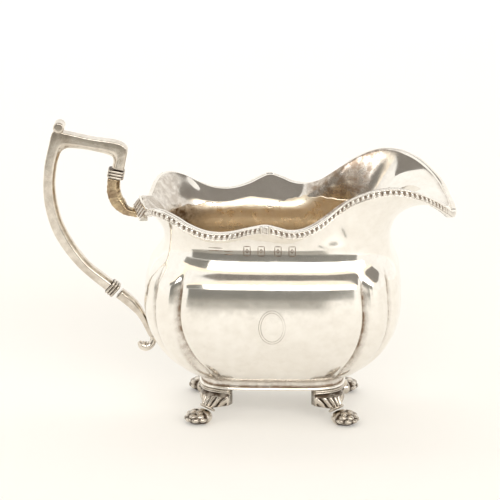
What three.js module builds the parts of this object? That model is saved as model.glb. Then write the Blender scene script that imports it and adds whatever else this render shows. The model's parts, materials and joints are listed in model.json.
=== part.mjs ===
// A silver cream jug: a raised oblong body with lobed corners, a shaped rim with an applied
// gadrooned border, a wide drooping spout, an angular cast handle and four cast lion's-paw feet.
// Millimetres, +X towards the spout, +Z up, the jug standing on z = 0.
import * as THREE from 'three';

// ---------------------------------------------------------------- driving dimensions
// The design is drawn about the body's own vertical axis and moved along X at the end, so that the
// origin lies under the middle of the whole jug.
const HANDLE_BACK = -81.0; // rearmost point of the handle
const SPOUT_TIP = 64.6; // foremost point of the spout's border
const CENTRING_SHIFT = -(HANDLE_BACK + SPOUT_TIP) / 2;

const WALL = 1.0; // thickness of the raised sheet
const GAP = 0.3; // clearance kept between soldered neighbours

const FOOT_TOP = 12.1; // top of the cast feet
const WIRE_BOTTOM = FOOT_TOP + GAP;
const WIRE_TOP = 13.3;
const COLLAR_TOP = 15.3;
const CREASE_Z = COLLAR_TOP + GAP; // where the bowl turns in to its flat bottom
const BELLY_Z = 43.0; // widest level of the bowl
const NECK_Z = 66.5; // waist between the shoulder and the flared rim

// Half length, half width and squareness of the body's outline at three levels.
const BASE = { length: 26.0, width: 18.8, power: 4.0 };
const BELLY = { length: 45.5, width: 33.0, power: 3.5 };
const NECK = { length: 38.2, width: 26.5, power: 3.6 };
const THROAT_LENGTH = 41.5; // the neck's half length on the spout side

// The shoulder between belly and neck: share of its rise, share of the belly's overhang.
const SHOULDER = [
  [0, 1.0],
  [0.08, 0.99],
  [0.19, 0.96],
  [0.33, 0.9],
  [0.46, 0.8],
  [0.557, 0.605],
  [0.661, 0.345],
  [0.759, 0.165],
  [0.86, 0.055],
  [0.953, 0.007],
  [1, 0],
];

// Two flutes part the front panel, the corner lobe and the end panel in every quadrant.
const FLUTE_NEAR_PANEL = 41.0; // polar angle from the jug's long axis
const FLUTE_NEAR_END = 27.5;
const FLUTE_DEPTH = 2.1;
const FLUTE_WIDTH = 1.7;
const FLUTE_BOTTOM_Z = 15.0;
const FLUTE_TOP_Z = 60.0;
const FLUTE_FADE = 9.0;
// Towards the foot the flutes turn away from the plain corner: polar shift at the crease.
const FLUTE_TURN_SPOUT = [[0, 0], [27.5, -2], [41, 1.5], [60, 1.5], [90, 0]];
const FLUTE_TURN_HANDLE = [[0, 0], [27.5, -2.5], [41, 6], [60, 6], [90, 0]];

// The lip: polar angle in degrees, radius and height of its outer edge. It peaks at a tablet on
// each side, at the two rounded back corners, at the back centre and on both sides of the spout.
const LIP = [
  [0, 63.0, 74.0],
  [3.5, 62.9, 74.9],
  [10.5, 62.3, 76.8],
  [15.5, 61.9, 79.3],
  [20.5, 60.1, 82.7],
  [25.5, 57.5, 85.9],
  [29, 54.7, 87.8],
  [32, 51.9, 88.8],
  [35.5, 48.5, 88.9],
  [38.5, 45.1, 88.1],
  [41.5, 41.5, 86.5],
  [45, 37.4, 84.0],
  [50, 34.9, 81.2],
  [56.5, 33.4, 78.2],
  [64, 33.0, 76.0],
  [72, 33.5, 74.9],
  [80, 34.4, 75.1],
  [87, 35.3, 76.5],
  [93, 35.7, 77.4],
  [99, 34.4, 76.5],
  [106, 33.0, 75.1],
  [114, 33.6, 73.8],
  [121, 35.5, 73.3],
  [128, 38.4, 74.0],
  [134, 41.8, 76.2],
  [139, 44.2, 78.6],
  [144, 46.0, 80.0],
  [149, 46.6, 80.0],
  [155, 46.0, 78.8],
  [161.5, 45.0, 77.0],
];
const BACK_MITRE = { angle: 168.2, radius: 44.4, height: 75.6 };
const BACK_APEX = { radius: 46.3, height: 78.2 };
const TABLET_ANGLE = 93;

// Direction of the sheet at the lip, in degrees above the horizontal, and how far it reaches in.
const LIP_SLOPE = [
  [0, -30],
  [10, -22],
  [18, -2],
  [26, 24],
  [34, 42],
  [45, 48],
  [70, 45],
  [93, 40],
  [120, 48],
  [145, 55],
  [180, 52],
];
const LIP_REACH = [
  [0, 14.5],
  [12, 12.0],
  [24, 9.0],
  [40, 6.5],
  [70, 4.0],
  [120, 4.0],
  [150, 5.5],
  [180, 5.5],
];
const THROAT_RISE = 8.5; // extra upright stretch of the throat below the spout
const THROAT_SPREAD = 35; // polar angle over which that stretch dies away
const FLARE_START = 0.4; // share of the neck's rise that stays upright before it flares

// The applied border wire outside the lip.
const BORDER_HEIGHT = 2.6;
const BORDER_THICKNESS = 1.25;
const BORDER_TUCK = 0.6; // how far its lower edge reaches in under the lip
const TABLET_WIDTH = 2.6;
const TABLET_THICKNESS = 1.7;
const BRACKET_DROP = 3.2; // the bracket-shaped back piece slopes out as it goes down
const BRACKET_FOOT = 1.0;
const BRACKET_REACH = 3.3;

// Base mouldings.
const COLLAR_INSET = 0.6;
const COLLAR_THICKNESS = 1.2;
const WIRE_PROUD = 0.1;
const WIRE_WIDTH = 2.4;
const PLATE_THICKNESS = 1.0;

// Handle. Each row is a cut across it: outer X and Z, then inner X and Z.
const GRIP_CUTS = [
  [-52.6, 87.8, -56.7, 88.6],
  [-51.6, 92.8, -56.2, 91.6],
  [-51.3, 95.3, -56.7, 92.7],
  [-53.4, 97.4, -58.4, 93.5],
  [-64.3, 99.4, -65.5, 95.1],
  [-73.0, 100.9, -72.4, 95.6],
  [-77.2, 101.0, -74.3, 94.6],
  [-79.0, 96.0, -75.5, 91.8],
  [-80.4, 89.5, -76.5, 87.2],
  [-81.0, 82.3, -76.9, 81.3],
  [-80.6, 75.5, -76.3, 75.5],
  [-78.6, 67.3, -74.4, 68.3],
  [-74.7, 59.6, -71.0, 61.5],
  [-68.6, 51.9, -65.5, 54.0],
  [-61.7, 45.8, -59.1, 48.7],
  [-59.4, 44.0, -56.9, 46.9],
];
const UPPER_BRANCH_CUTS = [
  [-58.3, 85.0, -54.0, 84.2],
  [-58.5, 80.0, -54.0, 80.4],
  [-57.5, 76.3, -53.2, 77.8],
  [-55.2, 73.4, -52.2, 76.2],
  [-52.0, 71.6, -51.4, 74.4],
  [-48.9, 71.0, -48.6, 73.4],
  [-46.4, 70.7, -46.4, 72.8],
];
const LOWER_BRANCH_CUTS = [
  [-55.8, 41.2, -53.3, 43.9],
  [-51.3, 37.5, -48.9, 39.9],
  [-48.3, 34.5, -46.5, 36.4],
  [-46.5, 31.6, -44.8, 32.9],
  [-45.3, 29.0, -43.4, 29.7],
  [-44.2, 26.8, -42.3, 27.3],
];
const HANDLE_HALF_WIDTH = 2.5;
const BRANCH_HALF_WIDTH = 2.2;
const INNER_HALF_WIDTH = 1.2; // the inner corners are chamfered down to this
const CHAMFER_SHARE = 0.26; // share of the depth taken by those chamfers

const THUMB_ROLL = { x: -75.2, z: 103.3, radius: 1.95, bevel: 0.5, halfLength: 3.3 };
const UPPER_COLLAR = { x: -55.4, z: 86.4, lean: 11, depth: 6.0, width: 6.2, height: 3.0 };
const LOWER_COLLAR = { x: -57.0, z: 44.2, lean: 131, depth: 5.5, width: 5.8, height: 3.0 };
const COLLAR_RIDGES = 3;
const COLLAR_RIDGE_DEPTH = 0.45;

// The tail of the lower branch: centre X and Z and radius along its curl.
const TAIL_CURL = [
  [-43.1, 26.6, 0.95],
  [-42.8, 24.9, 1.15],
  [-43.7, 23.2, 1.4],
  [-45.4, 22.5, 1.75],
  [-47.0, 23.1, 1.6],
  [-48.0, 24.2, 0.6],
];

// Feet: placed under the corners, each a cast knee, an ankle ring and a paw.
const KNEE_START_ANGLE = 20.0;
const KNEE_END_ANGLE = 49.5;
const KNEE_THICKNESS = 2.4;
const KNEE_BULGE = 1.0;
const KNEE_EDGE_Z = 6.7; // lower corner of its frame
const KNEE_ANKLE_Z = 4.8;
const ANKLE = { x: 22.8, y: 16.4, z: 5.2, lean: 33, radius: 2.9, thickness: 0.9 };
const PAW = { x: 25.9, y: 18.2, z: 2.2, length: 5.2, width: 4.5, height: 2.9 };
const OUTWARD_ANGLE = 40; // direction in which the feet point

// Mesh fineness.
const CORNER_STEPS = [23.5, 25.6, 27.5, 29.4, 31.6, 34.2, 36.8, 39.1, 41, 42.9, 45.5];
const SPOUT_STEPS = [0, 3.5, 7, 10.5, 15.5, 19.5];
const PANEL_STEPS = [50, 56.5, 64, 72, 80, 87];
const BACK_STEPS = [161.5, 168.2, 174, 180];
const LOWER_ROWS = 6;
const SHOULDER_ROWS = 5;
const FLARE_ROWS = 5;

// ---------------------------------------------------------------- materials
const silver = new THREE.MeshStandardMaterial({ color: 0xd9d4ca, roughness: 0.18, metalness: 1 });
const castSilver = new THREE.MeshStandardMaterial({ color: 0xbdb4a4, roughness: 0.28, metalness: 1 });
const wireSilver = new THREE.MeshStandardMaterial({ color: 0xc8c0b2, roughness: 0.25, metalness: 1 });

// ---------------------------------------------------------------- curves and helpers
const radians = THREE.MathUtils.degToRad;
const mix = THREE.MathUtils.lerp;
const smoothstep = THREE.MathUtils.smoothstep;
const point = (x, y, z) => new THREE.Vector3(x, y, z);

// A smooth curve through a list of [place, value...] rows, read at one place.
function along(rows, place, column = 1) {
  let i = 0;
  while (i < rows.length - 2 && place > rows[i + 1][0]) i += 1;
  const slope = (k) => {
    const before = rows[Math.max(k - 1, 0)];
    const after = rows[Math.min(k + 1, rows.length - 1)];
    return (after[column] - before[column]) / (after[0] - before[0]);
  };
  const span = rows[i + 1][0] - rows[i][0];
  const t = THREE.MathUtils.clamp((place - rows[i][0]) / span, 0, 1);
  const start = rows[i][column];
  const end = rows[i + 1][column];
  const hermite = 3 * t * t - 2 * t * t * t;
  const startPull = t * (1 - t) * (1 - t) * span * slope(i);
  const endPull = t * t * (1 - t) * span * slope(i + 1);
  return start + (end - start) * hermite + startPull - endPull;
}

// Polar radius of a squared ellipse.
function outlineRadius(angle, length, width, power) {
  const x = Math.abs(Math.cos(angle)) / length;
  const y = Math.abs(Math.sin(angle)) / width;
  return (x ** power + y ** power) ** (-1 / power);
}

const cubic = (a, b, c, d, t) => {
  const s = 1 - t;
  return s * s * s * a + 3 * s * s * t * b + 3 * s * t * t * c + t * t * t * d;
};

// One closed solid from a row of loops, with flat caps, or closed on itself when looped is true.
function loft(rings, looped = false) {
  const count = rings[0].length;
  const vertices = rings.flat();
  const faces = [];
  const last = looped ? rings.length : rings.length - 1;
  for (let r = 0; r < last; r += 1) {
    const low = r * count;
    const high = ((r + 1) % rings.length) * count;
    for (let i = 0; i < count; i += 1) {
      const j = (i + 1) % count;
      faces.push([low + i, low + j, high + j], [low + i, high + j, high + i]);
    }
  }
  if (!looped) {
    const middle = (ring) => ring.reduce((sum, p) => sum.add(p), point(0, 0, 0)).divideScalar(count);
    const top = (rings.length - 1) * count;
    const startCentre = vertices.push(middle(rings[0])) - 1;
    const endCentre = vertices.push(middle(rings[rings.length - 1])) - 1;
    for (let i = 0; i < count; i += 1) {
      const j = (i + 1) % count;
      faces.push([startCentre, j, i], [endCentre, top + i, top + j]);
    }
  }
  const volume = faces.reduce((sum, [a, b, c]) => {
    const across = vertices[b].clone().cross(vertices[c]);
    return sum + vertices[a].dot(across);
  }, 0);
  const turned = volume < 0 ? faces.map(([a, b, c]) => [a, c, b]) : faces;
  const geometry = new THREE.BufferGeometry();
  geometry.setFromPoints(vertices);
  geometry.setIndex(turned.flat());
  geometry.computeVertexNormals();
  return geometry;
}

const jug = new THREE.Group();
jug.position.x = CENTRING_SHIFT;

function add(name, geometry, material, parent = jug) {
  const mesh = new THREE.Mesh(geometry, material);
  mesh.name = name;
  parent.add(mesh);
  return mesh;
}

// ---------------------------------------------------------------- body surface
// Angles run from 0 at the spout to 180 at the handle, mirrored for the other side.
function lipAt(angle) {
  const back = Math.abs(angle);
  if (back <= LIP[LIP.length - 1][0]) {
    return { radius: along(LIP, back, 1), height: along(LIP, back, 2) };
  }
  const mitre = BACK_MITRE;
  const [startAngle, startRadius, startHeight] = LIP[LIP.length - 1];
  if (back <= mitre.angle) {
    const t = (back - startAngle) / (mitre.angle - startAngle);
    return { radius: mix(startRadius, mitre.radius, t), height: mix(startHeight, mitre.height, t) };
  }
  const t = (back - mitre.angle) / (180 - mitre.angle);
  return { radius: mix(mitre.radius, BACK_APEX.radius, t), height: mix(mitre.height, BACK_APEX.height, t) };
}

// How much of the flutes' depth is left at a height.
function fluteStrength(z) {
  const rise = smoothstep(z, FLUTE_BOTTOM_Z, FLUTE_BOTTOM_Z + FLUTE_FADE);
  return rise * (1 - smoothstep(z, FLUTE_TOP_Z - FLUTE_FADE, FLUTE_TOP_Z));
}

function fluteCut(angle, radius, z) {
  const folded = Math.min(angle, 180 - angle);
  const cut = (flute) => {
    const distance = radians(folded - flute) * radius;
    return (1 + (distance / FLUTE_WIDTH) ** 2) ** -1.5;
  };
  return FLUTE_DEPTH * fluteStrength(z) * (cut(FLUTE_NEAR_PANEL) + cut(FLUTE_NEAR_END));
}

// The flutes turn a little as they run down, and the whole surface turns with them.
function turnAt(angle, share) {
  const rows = angle < 90 ? FLUTE_TURN_SPOUT : FLUTE_TURN_HANDLE;
  const folded = Math.min(angle, 180 - angle);
  const shift = along(rows, folded) * share ** 1.5;
  return angle < 90 ? angle + shift : angle - shift;
}

function bodyPoint(side, angle, folded, radius, z) {
  const turn = radians(side * angle);
  const cut = radius - fluteCut(folded, radius, z);
  return point(cut * Math.cos(turn), cut * Math.sin(turn), z);
}

// One upright section of the outside, from the crease at the bottom to the lip.
function meridian(signedAngle) {
  const side = signedAngle < 0 ? -1 : 1;
  const angle = Math.abs(signedAngle);
  const neckLength = angle < 90 ? THROAT_LENGTH : NECK.length;
  const neck = outlineRadius(radians(angle), neckLength, NECK.width, NECK.power);
  const section = [];
  for (let i = 0; i < LOWER_ROWS; i += 1) {
    const share = 1 - i / LOWER_ROWS;
    const turned = turnAt(angle, share);
    const base = outlineRadius(radians(turned), BASE.length, BASE.width, BASE.power);
    const belly = outlineRadius(radians(turned), BELLY.length, BELLY.width, BELLY.power);
    const inset = belly - base;
    const drop = BELLY_Z - CREASE_Z;
    const bowlRadius = (drop * drop + inset * inset) / (2 * inset);
    const sweep = Math.asin(drop / bowlRadius) * share;
    const radius = belly - bowlRadius * (1 - Math.cos(sweep));
    section.push(bodyPoint(side, turned, angle, radius, BELLY_Z - bowlRadius * Math.sin(sweep)));
  }
  const belly = outlineRadius(radians(angle), BELLY.length, BELLY.width, BELLY.power);
  for (let i = 0; i < SHOULDER_ROWS; i += 1) {
    const t = i / SHOULDER_ROWS;
    const radius = mix(neck, belly, along(SHOULDER, t));
    section.push(bodyPoint(side, angle, angle, radius, mix(BELLY_Z, NECK_Z, t)));
  }
  const lip = lipAt(angle);
  const rise = lip.height - NECK_Z;
  const slope = radians(along(LIP_SLOPE, angle));
  const reach = along(LIP_REACH, angle);
  const upright = rise * FLARE_START + THROAT_RISE * (1 - smoothstep(angle, 0, THROAT_SPREAD));
  for (let i = 0; i <= FLARE_ROWS; i += 1) {
    const t = i / FLARE_ROWS;
    const out = cubic(neck, neck, lip.radius - reach * Math.cos(slope), lip.radius, t);
    const up = cubic(NECK_Z, NECK_Z + upright, lip.height - reach * Math.sin(slope), lip.height, t);
    section.push(bodyPoint(side, angle, angle, out, up));
  }
  return section;
}

const rightHalf = [...SPOUT_STEPS, ...CORNER_STEPS, ...PANEL_STEPS];
const leftCorner = CORNER_STEPS.map((step) => 180 - step).reverse();
const leftPanel = [TABLET_ANGLE, 99, 106, 114, 121, 128];
const leftHalf = [...leftPanel, ...leftCorner, ...BACK_STEPS];
const oneSide = [...rightHalf, ...leftHalf];
const otherSide = oneSide.slice(1, -1).reverse().map((step) => -step);
const stations = [...oneSide, ...otherSide];

const outside = stations.map(meridian);
const rowCount = outside[0].length;

// The inside follows the outside at the wall's thickness, measured square to the sheet.
function insideOf(column, row) {
  const here = outside[column][row];
  const next = outside[(column + 1) % stations.length][row];
  const previous = outside[(column + stations.length - 1) % stations.length][row];
  const above = outside[column][Math.min(row + 1, rowCount - 1)];
  const below = outside[column][Math.max(row - 1, 0)];
  const around = next.clone().sub(previous);
  const upward = above.clone().sub(below);
  const inward = upward.cross(around).normalize();
  return here.clone().addScaledVector(inward, WALL);
}

function bodyShell() {
  const outerRows = [];
  const innerRows = [];
  for (let row = 0; row < rowCount; row += 1) {
    outerRows.push(outside.map((section) => section[row]));
    innerRows.push(outside.map((section, column) => insideOf(column, row)));
  }
  const floorZ = CREASE_Z + WALL;
  const floorRow = innerRows[0].map((p) => point(p.x, p.y, floorZ));
  const clearRows = innerRows.slice(1).filter((ring) => Math.min(...ring.map((p) => p.z)) > floorZ + 0.5);
  return loft([...outerRows, ...clearRows.reverse(), floorRow]);
}
add('body_shell', bodyShell(), silver);

// ---------------------------------------------------------------- base mouldings
function baseOutline(inset, z, steps = 48) {
  const ring = [];
  for (let i = 0; i < steps; i += 1) {
    const angle = (i / steps) * Math.PI * 2;
    const radius = outlineRadius(angle, BASE.length - inset, BASE.width - inset, BASE.power);
    ring.push(point(radius * Math.cos(angle), radius * Math.sin(angle), z));
  }
  return ring;
}

// A ring of one profile, given as [inset, z] corners.
function baseRing(profile) {
  return loft(profile.map(([inset, z]) => baseOutline(inset, z)), true);
}
const collarInner = COLLAR_INSET + COLLAR_THICKNESS;
add('base_collar', baseRing([
  [COLLAR_INSET, WIRE_TOP + GAP],
  [COLLAR_INSET, COLLAR_TOP],
  [collarInner, COLLAR_TOP],
  [collarInner, WIRE_TOP + GAP],
]), silver);
const wireMiddle = (WIRE_BOTTOM + WIRE_TOP) / 2;
add('base_wire', baseRing([
  [0.2, WIRE_BOTTOM],
  [-WIRE_PROUD, wireMiddle],
  [0.2, WIRE_TOP],
  [WIRE_WIDTH, WIRE_TOP],
  [WIRE_WIDTH, WIRE_BOTTOM],
]), wireSilver);
const plateInset = collarInner + GAP;
add('base_plate', loft([
  baseOutline(plateInset, COLLAR_TOP - PLATE_THICKNESS),
  baseOutline(plateInset, COLLAR_TOP),
]), silver);

// ---------------------------------------------------------------- border round the lip
function lipPoint(angle) {
  const lip = lipAt(angle);
  return point(lip.radius * Math.cos(radians(angle)), lip.radius * Math.sin(radians(angle)), lip.height);
}

// Level direction square to the lip, pointing away from the body.
function lipOutward(angle) {
  const sign = Math.sign(angle);
  const size = Math.abs(angle);
  const nearMitre = size > BACK_MITRE.angle;
  const low = nearMitre ? BACK_MITRE.angle : size - 0.6;
  const high = nearMitre ? 180 : Math.min(size + 0.6, BACK_MITRE.angle);
  const along1 = lipPoint(sign * high).sub(lipPoint(sign * low));
  return point(along1.y, -along1.x, 0).multiplyScalar(sign).normalize();
}

// Sections of the wire: [outward, up] from the lip's edge.
const wireSection = [
  [GAP, 0],
  [GAP + BORDER_THICKNESS, -0.2],
  [GAP + BORDER_THICKNESS, -BORDER_HEIGHT + 0.2],
  [GAP + 0.5, -BORDER_HEIGHT],
  [-BORDER_TUCK, -BORDER_HEIGHT],
];
const bracketSection = [
  [GAP, 0],
  [GAP + 0.7, 0],
  [BRACKET_REACH, -BRACKET_DROP],
  [BRACKET_REACH - 0.6, -BRACKET_DROP - BRACKET_FOOT],
  [GAP, -BRACKET_DROP - BRACKET_FOOT],
];

function sectionAt(angle, profile, shift = 0) {
  const edge = lipPoint(angle);
  const outward = lipOutward(angle);
  const sideways = point(-outward.y, outward.x, 0).multiplyScalar(shift);
  return profile.map(([out, up]) => {
    const place = edge.clone().addScaledVector(outward, out).add(sideways);
    place.z += up;
    return place;
  });
}

function borderRun(from, to, steps, side) {
  const rings = [];
  for (let i = 0; i <= steps; i += 1) {
    const angle = side * mix(from, to, i / steps);
    rings.push(sectionAt(angle, wireSection));
  }
  return loft(rings);
}

// The bracket-shaped piece at the back meets in a point on the centre line.
function backBracket() {
  const rings = [];
  const end = BACK_MITRE.angle + 0.5;
  rings.push(sectionAt(-end, bracketSection));
  const centre = lipPoint(180);
  rings.push(bracketSection.map(([out, up]) => point(centre.x - out * 1.03, 0, centre.z + up)));
  rings.push(sectionAt(end, bracketSection));
  return loft(rings);
}

const tipGap = 0.25;
const tabletGap = 2.6;
for (const [word, side] of [['near', -1], ['far', 1]]) {
  add(`border_front_${word}`, borderRun(tipGap, TABLET_ANGLE - tabletGap, 46, side), wireSilver);
  add(`border_back_${word}`, borderRun(TABLET_ANGLE + tabletGap, BACK_MITRE.angle - 0.2, 32, side), wireSilver);
  const edge = lipPoint(side * TABLET_ANGLE);
  const outward = lipOutward(side * TABLET_ANGLE);
  const tablet = new THREE.BoxGeometry(TABLET_WIDTH, TABLET_THICKNESS, BORDER_HEIGHT + 0.3);
  const mesh = add(`side_tablet_${word}`, tablet, wireSilver);
  mesh.position.copy(edge).addScaledVector(outward, GAP + TABLET_THICKNESS / 2);
  mesh.position.z -= BORDER_HEIGHT / 2;
  mesh.rotation.z = Math.atan2(outward.y, outward.x) + Math.PI / 2;
}
add('border_back_bracket', backBracket(), wireSilver);

// ---------------------------------------------------------------- handle
// Loops across the handle between an outer and an inner curve, with chamfered inner corners.
function handleSolid(cuts, steps, halfWidth) {
  const outer = new THREE.CatmullRomCurve3(cuts.map(([x, z]) => point(x, 0, z)), false, 'centripetal');
  const inner = new THREE.CatmullRomCurve3(cuts.map((cut) => point(cut[2], 0, cut[3])), false, 'centripetal');
  const rings = [];
  for (let i = 0; i <= steps; i += 1) {
    const t = i / steps;
    const out = outer.getPoint(t);
    const back = inner.getPoint(t);
    const at = (share, y) => {
      const place = back.clone().lerp(out, share);
      place.y = y;
      return place;
    };
    rings.push([
      at(1, -halfWidth), at(CHAMFER_SHARE, -halfWidth), at(0, -INNER_HALF_WIDTH),
      at(0, INNER_HALF_WIDTH), at(CHAMFER_SHARE, halfWidth), at(1, halfWidth),
    ]);
  }
  return loft(rings);
}
add('handle_grip', handleSolid(GRIP_CUTS, 45, HANDLE_HALF_WIDTH), castSilver);
add('handle_upper_branch', handleSolid(UPPER_BRANCH_CUTS, 14, BRANCH_HALF_WIDTH), castSilver);
add('handle_lower_branch', handleSolid(LOWER_BRANCH_CUTS, 12, BRANCH_HALF_WIDTH), castSilver);

// A block of stacked ridges with rounded corners, square to the handle.
function collarBlock(collar) {
  const rings = [];
  const layers = COLLAR_RIDGES * 2;
  for (let i = 0; i <= layers; i += 1) {
    const onRidge = i % 2 === 1;
    const inset = onRidge ? 0 : COLLAR_RIDGE_DEPTH;
    const z = mix(-collar.height / 2, collar.height / 2, i / layers);
    const ring = [];
    for (let k = 0; k < 16; k += 1) {
      const angle = ((k + 0.5) / 16) * Math.PI * 2;
      const radius = outlineRadius(angle, collar.depth / 2 - inset, collar.width / 2 - inset, 5);
      ring.push(point(radius * Math.cos(angle), radius * Math.sin(angle), z));
    }
    rings.push(ring);
  }
  return loft(rings);
}
for (const [name, collar] of [['handle_upper_collar', UPPER_COLLAR], ['handle_lower_collar', LOWER_COLLAR]]) {
  const mesh = add(name, collarBlock(collar), castSilver);
  mesh.position.set(collar.x, 0, collar.z);
  mesh.rotation.y = radians(collar.lean);
}

function thumbRoll() {
  const { radius, bevel, halfLength } = THUMB_ROLL;
  const profile = [
    new THREE.Vector2(0, -halfLength),
    new THREE.Vector2(radius - bevel, -halfLength),
    new THREE.Vector2(radius, -halfLength + bevel),
    new THREE.Vector2(radius, halfLength - bevel),
    new THREE.Vector2(radius - bevel, halfLength),
    new THREE.Vector2(0, halfLength),
  ];
  return new THREE.LatheGeometry(profile, 24);
}
add('handle_thumb_roll', thumbRoll(), castSilver).position.set(THUMB_ROLL.x, 0, THUMB_ROLL.z);

function tailScroll() {
  const places = TAIL_CURL.map(([x, z]) => point(x, 0, z));
  const curve = new THREE.CatmullRomCurve3(places, false, 'centripetal');
  const rings = [];
  const steps = 14;
  for (let i = 0; i <= steps; i += 1) {
    const t = i / steps;
    const centre = curve.getPoint(t);
    const forward = curve.getTangent(t);
    const sideways = point(-forward.z, 0, forward.x);
    const row = t * (TAIL_CURL.length - 1);
    const before = Math.min(Math.floor(row), TAIL_CURL.length - 2);
    const radius = mix(TAIL_CURL[before][2], TAIL_CURL[before + 1][2], row - before);
    const ring = [];
    for (let k = 0; k < 10; k += 1) {
      const angle = (k / 10) * Math.PI * 2;
      const place = centre.clone().addScaledVector(sideways, radius * Math.cos(angle));
      place.y = radius * 1.15 * Math.sin(angle);
      ring.push(place);
    }
    rings.push(ring);
  }
  return loft(rings);
}
add('handle_tail_scroll', tailScroll(), castSilver);

// ---------------------------------------------------------------- feet
// Everything is drawn for the corner at +X +Y and mirrored by signs.
const outwardFlat = point(Math.cos(radians(OUTWARD_ANGLE)), Math.sin(radians(OUTWARD_ANGLE)), 0);
const ankleCentre = point(ANKLE.x, ANKLE.y, ANKLE.z);
const ankleAxis = point(0, 0, Math.cos(radians(ANKLE.lean)));
ankleAxis.addScaledVector(outwardFlat, -Math.sin(radians(ANKLE.lean)));

// Moves a point upright until it clears the ankle ring's plane, above it or below it.
function clearOfAnkle(place, above) {
  const half = ANKLE.thickness / 2 + GAP;
  const height = place.clone().sub(ankleCentre).dot(ankleAxis);
  const missing = above ? Math.max(half - height, 0) : Math.min(-half - height, 0);
  place.z += missing / ankleAxis.z;
  return place;
}

function kneeBracket() {
  const rings = [];
  const steps = 12;
  for (let i = 0; i <= steps; i += 1) {
    const share = i / steps;
    const angle = radians(mix(KNEE_START_ANGLE, KNEE_END_ANGLE, share));
    const radius = outlineRadius(angle, BASE.length, BASE.width, BASE.power);
    const fromCorner = Math.abs(share * 2 - 1);
    const lean = Math.max(0, 1 - (fromCorner / 0.42) ** 2);
    const lowerZ = mix(KNEE_ANKLE_Z, KNEE_EDGE_Z, fromCorner);
    const at = (out, z) => point((radius + out) * Math.cos(angle), (radius + out) * Math.sin(angle), z);
    const bulge = KNEE_BULGE * (1 - fromCorner ** 4);
    rings.push([
      at(-0.2, FOOT_TOP),
      at(-0.2, FOOT_TOP - 1.6),
      at(bulge - 0.3, 8.2),
      clearOfAnkle(at(2.4 * lean, lowerZ), true),
      clearOfAnkle(at(-KNEE_THICKNESS, lowerZ), true),
      at(-KNEE_THICKNESS, FOOT_TOP),
    ]);
  }
  return rings;
}

function ankleRing() {
  const half = ANKLE.thickness / 2;
  const profile = [
    new THREE.Vector2(0, -half),
    new THREE.Vector2(ANKLE.radius - 0.3, -half),
    new THREE.Vector2(ANKLE.radius, 0),
    new THREE.Vector2(ANKLE.radius - 0.3, half),
    new THREE.Vector2(0, half),
  ];
  return new THREE.LatheGeometry(profile, 20);
}

// A low rounded paw with four toes, flat underneath, trimmed to clear the ankle.
function pawRings() {
  const rings = [];
  const rows = 7;
  const count = 20;
  for (let row = 0; row <= rows; row += 1) {
    const rise = mix(-0.75, 1, row / rows) * (Math.PI / 2) * 0.96;
    const ring = [];
    for (let k = 0; k < count; k += 1) {
      const angle = (k / count) * Math.PI * 2;
      const front = Math.max(Math.cos(angle), 0);
      const toes = 1 + 0.07 * front * Math.cos(angle * 8) * Math.cos(rise);
      const ahead = PAW.length * Math.cos(angle) * Math.cos(rise) * toes;
      const across = PAW.width * Math.sin(angle) * Math.cos(rise) * toes;
      const place = point(PAW.x, PAW.y, Math.max(PAW.z + PAW.height * Math.sin(rise), 0));
      place.addScaledVector(outwardFlat, ahead);
      place.addScaledVector(point(-outwardFlat.y, outwardFlat.x, 0), across);
      ring.push(clearOfAnkle(place, false));
    }
    rings.push(ring);
  }
  return rings;
}

const mirrored = (rings, sx, sy) => rings.map((ring) => ring.map((p) => point(p.x * sx, p.y * sy, p.z)));
const corners = [
  ['front_near', 1, -1],
  ['front_far', 1, 1],
  ['back_near', -1, -1],
  ['back_far', -1, 1],
];
for (const [word, sx, sy] of corners) {
  add(`foot_knee_${word}`, loft(mirrored(kneeBracket(), sx, sy)), castSilver);
  add(`foot_paw_${word}`, loft(mirrored(pawRings(), sx, sy)), castSilver);
  const ring = add(`foot_ankle_${word}`, ankleRing(), castSilver);
  ring.position.set(ankleCentre.x * sx, ankleCentre.y * sy, ankleCentre.z);
  const axis = point(ankleAxis.x * sx, ankleAxis.y * sy, ankleAxis.z);
  ring.quaternion.setFromUnitVectors(point(0, 1, 0), axis);
}

export default jug;
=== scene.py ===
"""Looks of the silver cream jug: fine surfaces, chased detail, metals and a plain studio.

Lengths in the first part are millimetres about the body's own upright axis; place() turns them
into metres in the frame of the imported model.
"""
import json
import math

import bpy
import numpy as np
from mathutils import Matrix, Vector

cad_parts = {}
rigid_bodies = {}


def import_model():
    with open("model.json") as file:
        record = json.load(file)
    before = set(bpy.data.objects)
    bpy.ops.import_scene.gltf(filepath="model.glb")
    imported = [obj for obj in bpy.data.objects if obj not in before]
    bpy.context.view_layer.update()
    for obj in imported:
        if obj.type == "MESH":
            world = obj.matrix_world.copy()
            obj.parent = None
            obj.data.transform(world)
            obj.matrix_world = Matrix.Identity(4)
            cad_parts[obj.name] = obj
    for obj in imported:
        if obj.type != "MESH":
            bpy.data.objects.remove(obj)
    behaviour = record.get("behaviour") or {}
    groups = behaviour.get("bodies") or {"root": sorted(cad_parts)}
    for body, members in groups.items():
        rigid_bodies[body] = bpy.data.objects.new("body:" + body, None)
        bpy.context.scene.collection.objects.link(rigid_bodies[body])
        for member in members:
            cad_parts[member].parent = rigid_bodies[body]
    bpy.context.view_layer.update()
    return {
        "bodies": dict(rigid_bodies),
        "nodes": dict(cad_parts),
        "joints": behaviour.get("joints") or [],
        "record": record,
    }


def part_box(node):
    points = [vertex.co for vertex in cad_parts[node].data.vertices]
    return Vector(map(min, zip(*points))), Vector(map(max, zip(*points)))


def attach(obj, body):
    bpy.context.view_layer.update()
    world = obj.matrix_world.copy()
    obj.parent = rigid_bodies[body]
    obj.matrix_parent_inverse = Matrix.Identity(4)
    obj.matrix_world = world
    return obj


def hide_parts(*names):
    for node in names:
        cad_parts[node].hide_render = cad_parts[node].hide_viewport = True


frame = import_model()

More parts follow.
